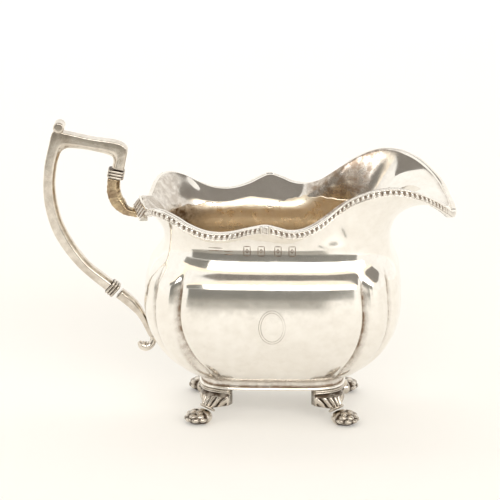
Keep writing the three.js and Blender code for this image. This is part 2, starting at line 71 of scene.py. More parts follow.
# ------------------------------------------------------------------ driving dimensions (mm)
MM = 0.001
plate_low, plate_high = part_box("base_plate")
AXIS_X = (plate_low.x + plate_high.x) / 2 / MM
WALL = 1.0
CREASE_Z = 15.6
BELLY_Z = 43.0
NECK_Z = 66.5
BASE = (26.0, 18.8, 4.0)
BELLY = (45.5, 33.0, 3.5)
NECK = (38.2, 26.5, 3.6)
THROAT_LENGTH = 41.5
# Share of the rise from belly to neck, share of the belly's overhang.
SHOULDER = [
    (0, 1.0), (0.08, 0.99), (0.19, 0.96), (0.33, 0.9), (0.46, 0.8), (0.557, 0.605), (0.661, 0.345),
    (0.759, 0.165), (0.86, 0.055), (0.953, 0.007), (1, 0),
]
FLUTES = (41.0, 27.5)  # polar angles of the flutes in each quarter
FLUTE_DEPTH = 2.1
FLUTE_WIDTH = 1.7
FLUTE_BOTTOM_Z = 15.0
FLUTE_TOP_Z = 60.0
FLUTE_FADE = 9.0
FLUTE_TURN_SPOUT = [(0, 0), (27.5, -2), (41, 1.5), (60, 1.5), (90, 0)]
FLUTE_TURN_HANDLE = [(0, 0), (27.5, -2.5), (41, 6), (60, 6), (90, 0)]
# Polar angle, radius and height of the lip's outer edge, the same on both sides.
LIP = [
    (0, 63.0, 74.0), (3.5, 62.9, 74.9), (10.5, 62.3, 76.8), (15.5, 61.9, 79.3), (20.5, 60.1, 82.7),
    (25.5, 57.5, 85.9), (29, 54.7, 87.8), (32, 51.9, 88.8), (35.5, 48.5, 88.9), (38.5, 45.1, 88.1),
    (41.5, 41.5, 86.5), (45, 37.4, 84.0), (50, 34.9, 81.2), (56.5, 33.4, 78.2), (64, 33.0, 76.0),
    (72, 33.5, 74.9), (80, 34.4, 75.1), (87, 35.3, 76.5), (93, 35.7, 77.4), (99, 34.4, 76.5),
    (106, 33.0, 75.1), (114, 33.6, 73.8), (121, 35.5, 73.3), (128, 38.4, 74.0), (134, 41.8, 76.2),
    (139, 44.2, 78.6), (144, 46.0, 80.0), (149, 46.6, 80.0), (155, 46.0, 78.8), (161.5, 45.0, 77.0),
]
BACK_MITRE = (168.2, 44.4, 75.6)
BACK_APEX = (46.3, 78.2)
TABLET_ANGLE = 93.0
# Polar angle and the flare's slope at the lip, in degrees above level.
LIP_SLOPE = [
    (0, -30), (10, -22), (18, -2), (26, 24), (34, 42), (45, 48), (70, 45), (93, 40), (120, 48),
    (145, 55), (180, 52),
]
LIP_REACH = [(0, 14.5), (12, 12), (24, 9), (40, 6.5), (70, 4), (120, 4), (150, 5.5), (180, 5.5)]
THROAT_RISE = 8.5
THROAT_SPREAD = 35.0
FLARE_START = 0.4
FLARE_EARLY = 0.28  # less upright start on the spout's shoulders, at these polar angles
EARLY_SPAN = (22, 36, 50, 66)

GADROON_PITCH = 1.9
GADROON_DEPTH = 0.62
GADROON_SLANT = 0.12

# Cuts across the handle: x and z of the outer edge, then of the inner edge.
GRIP_CUTS = [
    (-52.6, 87.8, -56.7, 88.6), (-51.6, 92.8, -56.2, 91.6), (-51.3, 95.3, -56.7, 92.7),
    (-53.4, 97.4, -58.4, 93.5), (-64.3, 99.4, -65.5, 95.1), (-73.0, 101.3, -72.4, 95.6),
    (-76.9, 102.0, -74.3, 94.6), (-79.0, 96.0, -75.5, 91.8), (-80.4, 89.5, -76.5, 87.2),
    (-81.0, 82.3, -76.9, 81.3), (-80.6, 75.5, -76.3, 75.5), (-78.6, 67.3, -74.4, 68.3),
    (-74.7, 59.6, -71.0, 61.5), (-68.6, 51.9, -65.5, 54.0), (-61.7, 45.8, -59.1, 48.7),
    (-59.4, 44.0, -56.9, 46.9),
]
UPPER_BRANCH_CUTS = [
    (-58.3, 85.0, -54.0, 84.2), (-58.5, 80.0, -54.0, 80.4), (-57.5, 76.3, -53.2, 77.8),
    (-55.2, 73.4, -52.2, 76.2), (-52.0, 71.6, -51.4, 74.4), (-48.9, 71.0, -48.6, 73.4),
    (-46.4, 70.7, -46.4, 72.8),
]
LOWER_BRANCH_CUTS = [
    (-55.8, 41.2, -53.3, 43.9), (-51.3, 37.5, -48.9, 39.9), (-48.3, 34.5, -46.5, 36.4),
    (-46.5, 31.6, -44.8, 32.9), (-45.3, 29.0, -43.4, 29.7), (-44.2, 26.8, -42.3, 27.3),
]
# Centres of the curl: x, z and radius.
TAIL_CURL = [
    (-43.1, 26.6, 0.95), (-42.8, 24.9, 1.15), (-43.7, 23.2, 1.4), (-45.4, 22.5, 1.75),
    (-47.0, 23.1, 1.6), (-48.0, 24.2, 0.6),
]


# ------------------------------------------------------------------ curves
def along(rows, place, column=1):
    """A smooth curve through rows of (place, value, ...), read at an array of places."""
    table = np.array(rows, float)
    xs, ys = table[:, 0], table[:, column]
    place = np.asarray(place, float)
    last = len(xs) - 1
    before = np.maximum(np.arange(last + 1) - 1, 0)
    after = np.minimum(np.arange(last + 1) + 1, last)
    slopes = (ys[after] - ys[before]) / (xs[after] - xs[before])
    i = np.clip(np.searchsorted(xs, place, side="left") - 1, 0, last - 1)
    span = xs[i + 1] - xs[i]
    t = np.clip((place - xs[i]) / span, 0, 1)
    hermite = 3 * t**2 - 2 * t**3
    pull = t * (1 - t) ** 2 * span * slopes[i] - t**2 * (1 - t) * span * slopes[i + 1]
    return ys[i] + (ys[i + 1] - ys[i]) * hermite + pull


def smoothstep(x, low, high):
    t = np.clip((np.asarray(x, float) - low) / (high - low), 0, 1)
    return t * t * (3 - 2 * t)


def outline_radius(degrees, shape):
    """Polar radius of a squared ellipse (half length, half width, power)."""
    length, width, power = shape
    angle = np.radians(degrees)
    x = np.abs(np.cos(angle)) / length
    y = np.abs(np.sin(angle)) / width
    return (x**power + y**power) ** (-1 / power)


def cubic(a, b, c, d, t):
    s = 1 - t
    return s**3 * a + 3 * s * s * t * b + 3 * s * t * t * c + t**3 * d


def unit(vectors):
    return vectors / np.maximum(np.linalg.norm(vectors, axis=-1, keepdims=True), 1e-12)


def polar(degrees, radius, z):
    angle = np.radians(degrees)
    height = np.broadcast_to(z, np.shape(radius))
    return np.stack([radius * np.cos(angle), radius * np.sin(angle), height], -1)


def ripple(degrees, z, size, seed):
    """Slow unevenness of hand-raised sheet, from a few waves."""
    rng = np.random.default_rng(seed)
    total = 0
    for _ in range(7):
        turns = rng.integers(3, 13)
        rise = rng.uniform(0.04, 0.22)
        phase = rng.uniform(0, 6.283, 2)
        wave = np.cos(np.radians(degrees) * turns + phase[0] + rise * z)
        total = total + wave * np.cos(rise * z + phase[1])
    return size * total / 7


# ------------------------------------------------------------------ the body's surface
def lip_at(degrees):
    """Radius and height of the lip's outer edge; its back is a pointed bracket."""
    a = np.abs(degrees)
    last = LIP[-1]
    radius = along(LIP, np.minimum(a, last[0]), 1)
    height = along(LIP, np.minimum(a, last[0]), 2)
    t = np.clip((a - last[0]) / (BACK_MITRE[0] - last[0]), 0, 1)
    u = np.clip((a - BACK_MITRE[0]) / (180 - BACK_MITRE[0]), 0, 1)
    on_slope = a > last[0]
    on_bracket = a > BACK_MITRE[0]
    radius = np.where(on_slope, last[1] + (BACK_MITRE[1] - last[1]) * t, radius)
    height = np.where(on_slope, last[2] + (BACK_MITRE[2] - last[2]) * t, height)
    radius = np.where(on_bracket, BACK_MITRE[1] + (BACK_APEX[0] - BACK_MITRE[1]) * u, radius)
    height = np.where(on_bracket, BACK_MITRE[2] + (BACK_APEX[1] - BACK_MITRE[2]) * u, height)
    return radius, height


def flute_share(a, radius, z):
    """How deep in a flute a point lies, from 0 to about 1."""
    folded = np.minimum(a, 180 - a)
    fade = smoothstep(z, FLUTE_BOTTOM_Z, FLUTE_BOTTOM_Z + FLUTE_FADE)
    fade = fade * (1 - smoothstep(z, FLUTE_TOP_Z - FLUTE_FADE, FLUTE_TOP_Z))
    total = 0
    for flute in FLUTES:
        distance = np.radians(folded - flute) * radius
        total = total + (1 + (distance / FLUTE_WIDTH) ** 2) ** -1.5
    return fade * total


def outside(degrees, v):
    """Outer surface: v runs 0 to 1 over the bowl, to 2 over the shoulder and to 3 over the flare."""
    degrees, v = np.broadcast_arrays(np.asarray(degrees, float), np.asarray(v, float))
    side = np.where(degrees < 0, -1.0, 1.0)
    a = np.abs(degrees)
    share = np.clip(1 - v, 0, 1)
    folded = np.minimum(a, 180 - a)
    to_spout = along(FLUTE_TURN_SPOUT, folded) * share**1.5
    to_handle = -along(FLUTE_TURN_HANDLE, folded) * share**1.5
    turned = a + np.where(a < 90, to_spout, to_handle)
    base = outline_radius(turned, BASE)
    belly = outline_radius(turned, BELLY)
    neck = np.where(a < 90, outline_radius(a, (THROAT_LENGTH,) + NECK[1:]), outline_radius(a, NECK))
    early = smoothstep(a, *EARLY_SPAN[:2]) * (1 - smoothstep(a, *EARLY_SPAN[2:]))
    drop = BELLY_Z - CREASE_Z
    inset = belly - base
    bowl = (drop**2 + inset**2) / (2 * inset)
    sweep = np.arcsin(drop / bowl) * share
    radius = belly - bowl * (1 - np.cos(sweep))
    z = BELLY_Z - bowl * np.sin(sweep)
    t = np.clip(v - 1, 0, 1)
    wave = along(SHOULDER, t)
    radius = np.where(v > 1, neck + (belly - neck) * wave, radius)
    z = np.where(v > 1, BELLY_Z + (NECK_Z - BELLY_Z) * t, z)
    lip_radius, lip_height = lip_at(a)
    rise = lip_height - NECK_Z
    slope = np.radians(along(LIP_SLOPE, a))
    reach = along(LIP_REACH, a)
    throat = THROAT_RISE * (1 - smoothstep(a, 0, THROAT_SPREAD))
    upright = rise * (FLARE_START - FLARE_EARLY * early) + throat
    u = np.clip(v - 2, 0, 1)
    flare_radius = cubic(neck, neck, lip_radius - reach * np.cos(slope), lip_radius, u)
    flare_z = cubic(NECK_Z, NECK_Z + upright, lip_height - reach * np.sin(slope), lip_height, u)
    radius = np.where(v > 2, flare_radius, radius)
    z = np.where(v > 2, flare_z, z)
    radius = radius - FLUTE_DEPTH * flute_share(a, radius, z)
    calm = smoothstep(v, 0, 0.2) * (1 - smoothstep(v, 2.6, 3))
    radius = radius + calm * ripple(degrees, z, 0.085, 5)
    return polar(side * turned, radius, z)


def outward(degrees, v):
    """Unit normal of the outer surface."""
    step_a, step_v = 0.05, 0.002
    degrees, v = np.broadcast_arrays(np.asarray(degrees, float), np.asarray(v, float))
    low_v = np.clip(v - step_v, 0, 3)
    high_v = np.clip(v + step_v, 0, 3)
    around = outside(degrees + step_a, v) - outside(degrees - step_a, v)
    upward = outside(degrees, high_v) - outside(degrees, low_v)
    return unit(np.cross(around, upward))


# ------------------------------------------------------------------ meshes
def place(points):
    """Millimetres about the body's axis to metres in the frame."""
    moved = np.array(points, float)
    moved[..., 0] += AXIS_X
    return moved * MM


def grid_faces(rows, columns, close_rows, close_columns):
    r = np.arange(rows if close_rows else rows - 1)
    c = np.arange(columns if close_columns else columns - 1)
    r, c = np.meshgrid(r, c, indexing="ij")
    r2, c2 = (r + 1) % rows, (c + 1) % columns
    quads = np.stack([r * columns + c, r * columns + c2, r2 * columns + c2, r2 * columns + c], -1)
    return quads.reshape(-1, 4).tolist()


def solid(name, rings, looped=False, closed_ring=True, hollows=None):
    """A closed mesh object from loops (rings, points, 3) in mm; hollows gives 0 to 1 for each point."""
    rings = np.asarray(rings, float)
    rows, columns = rings.shape[:2]
    points = rings.reshape(-1, 3)
    faces = grid_faces(rows, columns, looped, closed_ring)
    if not looped:
        ends = np.stack([rings[0].mean(0), rings[-1].mean(0)])
        points = np.concatenate([points, ends])
        start = rows * columns
        top = (rows - 1) * columns
        for i in range(columns):
            j = (i + 1) % columns
            faces.append((start, j, i))
            faces.append((start + 1, top + i, top + j))
    obj = mesh_object(name, points, faces)
    if hollows is not None:
        values = np.zeros(len(points))
        values[:rows * columns] = np.clip(np.asarray(hollows, float), 0, 1).ravel()
        store(obj, "hollow", values)
    return obj


def mesh_object(name, points, faces):
    placed = place(points)
    mesh = bpy.data.meshes.new(name)
    mesh.from_pydata(placed.tolist(), [], faces)
    mesh.update()
    volume = 0.0
    for face in faces:
        a, b, c = placed[face[0]], placed[face[1]], placed[face[2]]
        volume += np.dot(a, np.cross(b, c))
        if len(face) == 4:
            volume += np.dot(a, np.cross(c, placed[face[3]]))
    if volume < 0:
        mesh.flip_normals()
    mesh.shade_smooth()
    obj = bpy.data.objects.new(name, mesh)
    bpy.context.scene.collection.objects.link(obj)
    return obj


def mark_hollows(obj, full, spread=2):
    """Stores how hollow each point is, 0 to 1; full is the curvature in 1/mm that counts as 1."""
    mesh = obj.data
    count = len(mesh.vertices)
    points = np.empty(count * 3, np.float32)
    mesh.vertices.foreach_get("co", points)
    points = points.reshape(-1, 3) / MM
    normals = np.empty(count * 3, np.float32)
    mesh.vertex_normals.foreach_get("vector", normals)
    normals = normals.reshape(-1, 3)
    edges = np.empty(len(mesh.edges) * 2, np.int32)
    mesh.edges.foreach_get("vertices", edges)
    a, b = edges.reshape(-1, 2).T
    step = points[b] - points[a]
    size2 = np.maximum((step**2).sum(1), 1e-8)
    rise_a = (step * normals[a]).sum(1) / size2
    rise_b = -(step * normals[b]).sum(1) / size2
    total = np.bincount(a, rise_a, count) + np.bincount(b, rise_b, count)
    links = np.maximum(np.bincount(a, minlength=count) + np.bincount(b, minlength=count), 1)
    value = np.clip(2 * total / links / full, 0, 1)
    for _ in range(spread):
        near = np.bincount(a, value[b], count) + np.bincount(b, value[a], count)
        value = 0.5 * value + 0.5 * near / links
    store(obj, "hollow", np.clip(value, 0, 1))


def store(obj, name, values):
    layer = obj.data.attributes.get(name) or obj.data.attributes.new(name, "FLOAT", "POINT")
    layer.data.foreach_set("value", np.asarray(values, np.float32).ravel())


def finish_piece(obj, material, slot, *nodes):
    obj.data.materials.append(material)
    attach(obj, "root")
    if nodes:
        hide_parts(*nodes)
    return obj


# ------------------------------------------------------------------ materials
class Shader:
    """A small helper for building one material's nodes."""

    def __init__(self, name):
        self.material = bpy.data.materials.new(name)
        self.material.use_nodes = True
        self.nodes = self.material.node_tree.nodes
        self.links = self.material.node_tree.links
        self.body = self.nodes["Principled BSDF"]

    def add(self, kind, inputs=None, **settings):
        node = self.nodes.new(kind)
        for key, value in settings.items():
            setattr(node, key, value)
        for key, value in (inputs or {}).items():
            self.put(node.inputs[key], value)
        return node

    def put(self, socket, value):
        if hasattr(value, "is_output"):
            self.links.new(value, socket)
        else:
            socket.default_value = value

    def noise(self, scale, detail=3.0, roughness=0.5, stretch=(1, 1, 1)):
        """Noise over the object; scale is in waves per metre."""
        coords = self.add("ShaderNodeTexCoord").outputs["Object"]
        mapped = self.add("ShaderNodeMapping", {"Vector": coords, "Scale": stretch}).outputs[0]
        settings = {"Vector": mapped, "Scale": scale, "Detail": detail, "Roughness": roughness}
        return self.add("ShaderNodeTexNoise", settings).outputs["Fac"]

    def range(self, value, low, high, to_low=0.0, to_high=1.0):
        settings = {"Value": value, "From Min": low, "From Max": high, "To Min": to_low, "To Max": to_high}
        return self.add("ShaderNodeMapRange", settings).outputs[0]

    def maths(self, kind, a, b=0.0):
        return self.add("ShaderNodeMath", {0: a, 1: b}, operation=kind).outputs[0]

    def blend(self, share, a, b):
        node = self.add("ShaderNodeMix", data_type="RGBA")
        self.put(node.inputs[0], share)
        self.put(node.inputs[6], a)
        self.put(node.inputs[7], b)
        return node.outputs[2]

    def value(self, name):
        return self.add("ShaderNodeAttribute", attribute_name=name).outputs["Fac"]

    def bump(self, height, strength, distance, normal=None):
        inputs = {"Height": height, "Strength": strength, "Distance": distance}
        if normal is not None:
            inputs["Normal"] = normal
        return self.add("ShaderNodeBump", inputs).outputs[0]


def metal(name, bright, tint, dark, rough, tarnish_and_painted_dark, grain=0.00001, blotch=0.5, streak=0.0):
    """Old silver: clouded between two tones, dark tarnish in its hollows, specks and fine scratches. The
    same dark also paints shade and a reflection on the body, and shadow on the base band and under the
    gadroons, through their hollow values.
    """
    s = Shader(name)
    patches = s.noise(420, 5, 0.62)
    hollow = s.value("hollow")
    broken = s.maths("MULTIPLY", hollow, s.range(patches, 0.32, 0.60, 0.45, 1.5))
    specks = s.range(s.noise(1500, 3, 0.6), 0.66, 0.76)
    speck_share = s.maths("MULTIPLY", specks, s.maths("ADD", s.maths("MULTIPLY", hollow, 0.8), 0.10))
    share = s.maths("ADD", s.maths("MULTIPLY", broken, tarnish_and_painted_dark), speck_share)
    mask = s.maths("MINIMUM", share, 1.0)
    cloud = s.range(s.noise(75, 6, 0.68), 0.36, 0.66)
    mottle = s.range(s.noise(330, 5, 0.7), 0.40, 0.66)
    tone = s.maths("ADD", s.maths("MULTIPLY", cloud, 1 - blotch), s.maths("MULTIPLY", mottle, blotch))
    base = s.blend(tone, bright, tint)
    s.put(s.body.inputs["Base Color"], s.blend(mask, base, dark))
    s.body.inputs["Metallic"].default_value = 1.0
    rubbed = s.range(s.noise(240, 5, 0.65), 0.35, 0.68, rough * 0.7, rough * 1.45)
    worn = s.maths("MULTIPLY", s.value("wear"), s.range(mottle, 0, 1, 0.05, 0.13))
    dulled = s.maths("ADD", rubbed, worn)
    s.put(s.body.inputs["Roughness"], s.maths("ADD", dulled, s.maths("MULTIPLY", mask, 0.3)))
    normal = s.bump(s.noise(3600, 4, 0.65), 0.4, grain)
    normal = s.bump(s.noise(600, 4, 0.7, (1, 1, 6)), 0.3, grain, normal)
    if streak:
        normal = s.bump(s.noise(130, 4, 0.6, (1, 1, 5)), 0.5, streak, normal)
    s.put(s.body.inputs["Normal"], normal)
    return s.material


SILVER = (0.94, 0.915, 0.87, 1)
DULL_SILVER = (0.80, 0.755, 0.69, 1)
RAISED_TINT = (0.85, 0.815, 0.755, 1)
# Dark tones for the hollows: tarnish, and on the raised sheet also painted shade, painted shadow and a
# painted reflection, on the wire also a painted shadow line.
RAISED_TARNISH_AND_PAINTED_DARK = (0.26, 0.185, 0.13, 1)
WIRE_TARNISH_AND_PAINTED_SHADOW = (0.27, 0.215, 0.17, 1)
CAST_SILVER = (0.84, 0.79, 0.715, 1)
DULL_CAST = (0.50, 0.435, 0.36, 1)
TARNISH = (0.085, 0.06, 0.042, 1)
GILT = (0.93, 0.83, 0.68, 1)
DULL_GILT = (0.83, 0.70, 0.53, 1)
GILT_STAIN = (0.16, 0.09, 0.04, 1)
WORN_CAST = (0.70, 0.56, 0.36, 1)
WORN_TINT = (0.25, 0.17, 0.11, 1)
WORN_STAIN = (0.07, 0.045, 0.03, 1)
CUT_LINE = (0.46, 0.38, 0.30, 1)
CUT_TINT = (0.62, 0.55, 0.47, 1)
CUT_STAIN = (0.20, 0.14, 0.10, 1)

sheet_metal = metal("raised_sheet", SILVER, RAISED_TINT, RAISED_TARNISH_AND_PAINTED_DARK, 0.085, 0.8, 0.000004)
wire_metal = metal("struck_wire", SILVER, DULL_SILVER, WIRE_TARNISH_AND_PAINTED_SHADOW, 0.14, 1.1, 0.000008)
cast_metal = metal("cast_and_chased", CAST_SILVER, DULL_CAST, TARNISH, 0.15, 1.1, 0.000012)
gilt_metal = metal("gold_wash", GILT, DULL_GILT, GILT_STAIN, 0.30, 0.9, 0.00004, 0.5, 0.00018)
worn_metal = metal("worn_cast", WORN_CAST, WORN_TINT, WORN_STAIN, 0.22, 1.0, 0.00004, 0.75)

# ------------------------------------------------------------------ body
BOWL_ROWS, SHOULDER_ROWS, FLARE_ROWS = 46, 40, 40


def body_angles():
    """Stations round the body, closer in the corners, with the back's mitres on exact stations."""
    half = np.concatenate([
        np.arange(0, 20, 0.8), np.arange(20, 50, 0.3), np.arange(50, 129, 0.8), np.arange(129, 161, 0.35),
        np.linspace(161.5, BACK_MITRE[0], 9), np.linspace(BACK_MITRE[0], 180, 15)[1:],
    ])
    return np.concatenate([half, -half[1:-1][::-1]])


angles = body_angles()
rows_v = np.concatenate([
    np.linspace(0, 1, BOWL_ROWS, endpoint=False),
    np.linspace(1, 2, SHOULDER_ROWS, endpoint=False),
    np.linspace(2, 3, FLARE_ROWS),
])
A, V = np.meshgrid(angles, rows_v)
outer_grid = outside(A, V)
lip_lean = np.radians(along(LIP_SLOPE, np.abs(angles)))
sheet_cut = np.clip(np.cos(lip_lean) / np.maximum(np.sin(lip_lean), 0.4), 0, 1.6)
per_v = np.linalg.norm(outside(angles, 3.0) - outside(angles, 2.96), axis=-1) / 0.04
inner_top = 3 - sheet_cut / per_v
V_INNER = np.where(V > 2.5, 2.5 + (V - 2.5) * (inner_top - 2.5) / 0.5, V)
inner_grid = outside(A, V_INNER) - outward(A, V_INNER) * WALL
floor_z = CREASE_Z + WALL


def body_shell():
    lip_out, lip_in = outer_grid[-1], inner_grid[-1]
    rings = [outer_grid[0] * (0.55, 0.55, 1), outer_grid[0] * (0.97, 0.97, 1), *outer_grid]
    for share in (0.04, 0.12, 0.5, 0.9, 0.97):
        bulge = 0.16 * math.sin(math.pi * share) ** 0.5
        rings.append(lip_out + (lip_in - lip_out) * share + np.array([0, 0, bulge]))
    clear = [ring for ring in inner_grid if ring[:, 2].min() > floor_z + 0.4]
    rings.extend(clear[::-1])
    last = clear[0]
    for share, drop in ((0.985, 0.75), (0.95, 0.25), (0.9, 0.03), (0.6, 0.0)):
        ring = last * (share, share, 1)
        ring[:, 2] = floor_z + (last[:, 2] - floor_z) * drop
        rings.append(ring)
    return solid("jug_body", rings)


body = body_shell()
body_points = np.array([v.co for v in body.data.vertices]) / MM
body_points[:, 0] -= AXIS_X
around = np.degrees(np.arctan2(body_points[:, 1], body_points[:, 0]))
from_axis = np.hypot(body_points[:, 0], body_points[:, 1])
in_flute = flute_share(np.abs(around), from_axis, body_points[:, 2])
mark_hollows(body, 1.2, 3)
hollow = np.empty(len(body_points), np.float32)
body.data.attributes["hollow"].data.foreach_get("value", hollow)
outer_count = (2 + len(rows_v)) * len(angles)
is_inside = np.arange(len(body_points)) > outer_count
at_back = smoothstep(np.abs(around), 132, 150) * smoothstep(body_points[:, 2], 60, 68)
at_foot = 1 - smoothstep(body_points[:, 2], 15.5, 19.5)
corner = smoothstep(np.abs(np.abs(around) - 90), 35, 50)
at_shoulder = smoothstep(np.abs(around), 26, 38) * (1 - smoothstep(np.abs(around), 60, 76))
# Painted reflection: the dark reflection inside the spout's shoulders is painted into the colour as a brown
# patch.
painted_spout_reflection = at_shoulder * smoothstep(body_points[:, 2], 68, 74)
# Tarnish and brown pits along the flutes, widened into painted shade like a broad soft shadow down each
# flute; the painted reflection inside the spout's shoulders; darker high up inside the back.
dirt_and_painted_dark = 0.7 * np.clip(in_flute - 0.45, 0, 1) + 0.75 * painted_spout_reflection * is_inside + 0.42 * at_back * is_inside
# Darker towards the bottom of the body, most at the corners.
dirt_and_painted_dark = dirt_and_painted_dark + 0.5 * at_foot * (0.25 + 0.75 * corner)
store(body, "hollow", np.clip(hollow + dirt_and_painted_dark, 0, 1))
wear = 1 - smoothstep(body_points[:, 2], 47, 58)
store(body, "wear", wear * (1 - is_inside))
finish_piece(body, sheet_metal, "raised_silver", "body_shell")


def gilding():
    """The gold wash: a skin over the inside, up to a wandering edge below the lip."""
    rng = np.random.default_rng(3)
    level = 68.6 + 3.4 * smoothstep(np.cos(np.radians(angles)) * 30, -2, 24)
    for turns in (5, 9, 14, 23, 37, 61):
        level = level + 0.9 / turns**0.45 * np.cos(np.radians(angles) * turns + rng.uniform(0, 6.28))
    tries = np.linspace(1.8, 2.9, 90)[:, None] + 0 * angles
    heights = outside(np.broadcast_to(angles, tries.shape), tries)[..., 2]
    edge = np.array([np.interp(level[k], heights[:, k], tries[:, k]) for k in range(len(angles))])
    bottom = 0.13
    shares = np.linspace(0, 1, 80)[:, None]
    v = bottom + (edge[None, :] - bottom) * shares
    a = np.broadcast_to(angles, v.shape)
    skin = outside(a, v) - outward(a, v) * (WALL + 0.05)
    low = skin[0]
    floor = [low * (s, s, 1) for s in (0.3, 0.6, 0.85, 0.95, 0.985)]
    for ring, drop in zip(floor, (0, 0, 0.02, 0.2, 0.7)):
        ring[:, 2] = floor_z + 0.06 + (low[:, 2] - floor_z - 0.06) * drop
    rings = np.concatenate([np.array(floor), skin])
    inner = rings.copy()
    inner[len(floor):] -= outward(a, v) * 0.04
    inner[:len(floor), :, 2] += 0.04
    return solid("bowl_gilding", np.concatenate([rings, inner[::-1]]))


wash = gilding()
wash_points = np.array([v.co for v in wash.data.vertices]) / MM
wash_turn = np.abs(np.degrees(np.arctan2(wash_points[:, 1], wash_points[:, 0] - AXIS_X)))
store(wash, "hollow", 0.75 * smoothstep(wash_turn, 128, 152) * smoothstep(wash_points[:, 2], 50, 66))
finish_piece(wash, gilt_metal, "gilding")

# ------------------------------------------------------------------ worn marks
def on_side(x, z):
    """Polar angles and v of the near outer surface at places along and up."""
    v = np.where(z < 60, 1.2, 2.2)
    degrees = np.full(len(x), -90.0)
    for _ in range(14):
        spot = outside(degrees, v)
        rise = (outside(degrees, v + 0.01)[..., 2] - spot[..., 2]) / 0.01
        degrees = degrees + (x - spot[..., 0]) / np.maximum(np.abs(spot[..., 1]), 1) * 46
        v = np.clip(v + 0.8 * (z - spot[..., 2]) / rise, 0.02, 2.98)
    return degrees, v


def ribbon(name, strokes, half_width, lift, material):
    """Fine cut lines: thin closed strips laid along paths of (x, z) on the near side."""
    points, faces = [], []
    for stroke in strokes:
        steps = len(stroke)
        way = unit(np.gradient(stroke, axis=0))
        across = np.stack([-way[:, 1], way[:, 0]], -1)
        width = half_width * np.sin(np.pi * (np.arange(steps) + 0.5) / steps)[:, None] ** 0.5
        rows = []
        for side in (-1, 1):
            spread = stroke + across * width * side
            degrees, v = on_side(spread[:, 0], spread[:, 1])
            skin, normal = outside(degrees, v), outward(degrees, v)
            rows += [skin + normal * lift, skin - normal * 0.1]
        start = len(points)
        points.extend(np.stack(rows, 1).reshape(-1, 3))
        for i in range(steps - 1):
            a, b = start + 4 * i, start + 4 * (i + 1)
            faces += [(a, b, b + 2, a + 2), (a + 1, a + 3, b + 3, b + 1)]
            faces += [(a, a + 1, b + 1, b), (a + 2, b + 2, b + 3, a + 3)]
        a, b = start, start + 4 * (steps - 1)
        faces += [(a, a + 2, a + 3, a + 1), (b, b + 1, b + 3, b + 2)]
    obj = mesh_object(name, np.array(points), faces)
    store(obj, "hollow", np.full(len(points), 0.75))
    return finish_piece(obj, material, "raised_silver")


def arc(x0, z0, x1, z1, bow, steps=12):
    """A bowed path between two places."""
    t = np.linspace(0, 1, steps)
    dx, dz = x1 - x0, z1 - z0
    sag = bow * np.sin(np.pi * t)
    return np.stack([x0 + dx * t - dz * sag, z0 + dz * t + dx * sag], -1)


mark_metal = metal("cut_lines", CUT_LINE, CUT_TINT, CUT_STAIN, 0.3, 1.0, 0.00001)
# Plain punched frames on the near neck: x and z of the centre, half width and half height.
PUNCHES = [
    (-19.4, 66.2, 2.5, 0.45), (-14.9, 65.0, 1.5, 0.5), (-8.5, 65.8, 1.1, 1.65), (-3.6, 65.8, 1.1, 1.65),
    (2.2, 65.8, 1.1, 1.65), (7.1, 65.8, 1.1, 1.65),
]
FULL_FRAME = (0, 1, 2, 3)
RUBBED_FRAME = (0, 2)  # only the long edges are left
for number, (x, z, half, tall) in enumerate(PUNCHES):
    left, right = x - half, x + half
    corners = [(left, z - tall), (right, z - tall), (right, z + tall), (left, z + tall)]
    edges = FULL_FRAME if number > 1 else RUBBED_FRAME
    strokes = [arc(*corners[k], *corners[(k + 1) % 4], 0.0) for k in edges]
    if number > 1:
        tips = [(x, z - 0.7), (x + 0.5, z), (x, z + 0.7), (x - 0.5, z)]
        strokes += [arc(*tips[k], *tips[(k + 1) % 4], 0.0, 6) for k in range(4)]
    ribbon(f"punch_{number}", strokes, 0.15, 0.02, mark_metal)

# A worn engraved oval on the belly: two plain rings with nothing inside.
OVAL_CENTRE = (0.3, 40.0)
OVAL_RINGS = [(4.6, 6.2), (3.9, 5.4)]
turns = np.linspace(0, 2 * np.pi, 49)
rings = [np.array(OVAL_CENTRE) + np.stack([wide * np.cos(turns), tall * np.sin(turns)], -1)
         for wide, tall in OVAL_RINGS]
ribbon("engraved_oval", rings, 0.075, 0.012, mark_metal)

# ------------------------------------------------------------------ base mouldings
def base_ring(inset, z, steps=240):
    turn = np.linspace(0, 360, steps, endpoint=False)
    return polar(turn, outline_radius(turn, (BASE[0] - inset, BASE[1] - inset, BASE[2])), z)


def base_moulding(name, profile):
    """A closed ring of one profile of (inset, z) corners, with small rounds between them."""
    rings = []
    count = len(profile)
    for i in range(count):
        corner = np.array(profile[i], float)
        for toward in (profile[i - 1], profile[(i + 1) % count]):
            step = np.array(toward, float) - corner
            length = np.linalg.norm(step)
            rounded = corner + step / length * min(0.07, 0.3 * length)
            rings.append(base_ring(*rounded))
    return solid(name, rings, looped=True)


BAND_PROFILE = [
    (0.5, 13.45), (0.62, 13.8), (0.7, 14.4), (0.62, 15.1), (0.45, 15.5), (1.8, 15.5), (1.8, 13.45),
]
BEAD_PROFILE = [
    (0.3, 12.25), (0.02, 12.4), (-0.05, 12.8), (0.15, 13.2), (0.55, 13.42), (2.4, 13.42), (2.4, 12.25),
]
PANEL_PROFILE = [(15.0, 14.35), (2.6, 14.3), (2.2, 14.4), (2.1, 14.6), (2.1, 15.1), (2.3, 15.3), (15, 15.3)]

collar = base_moulding("base_band", BAND_PROFILE)
collar_z = np.array([v.co.z for v in collar.data.vertices]) / MM
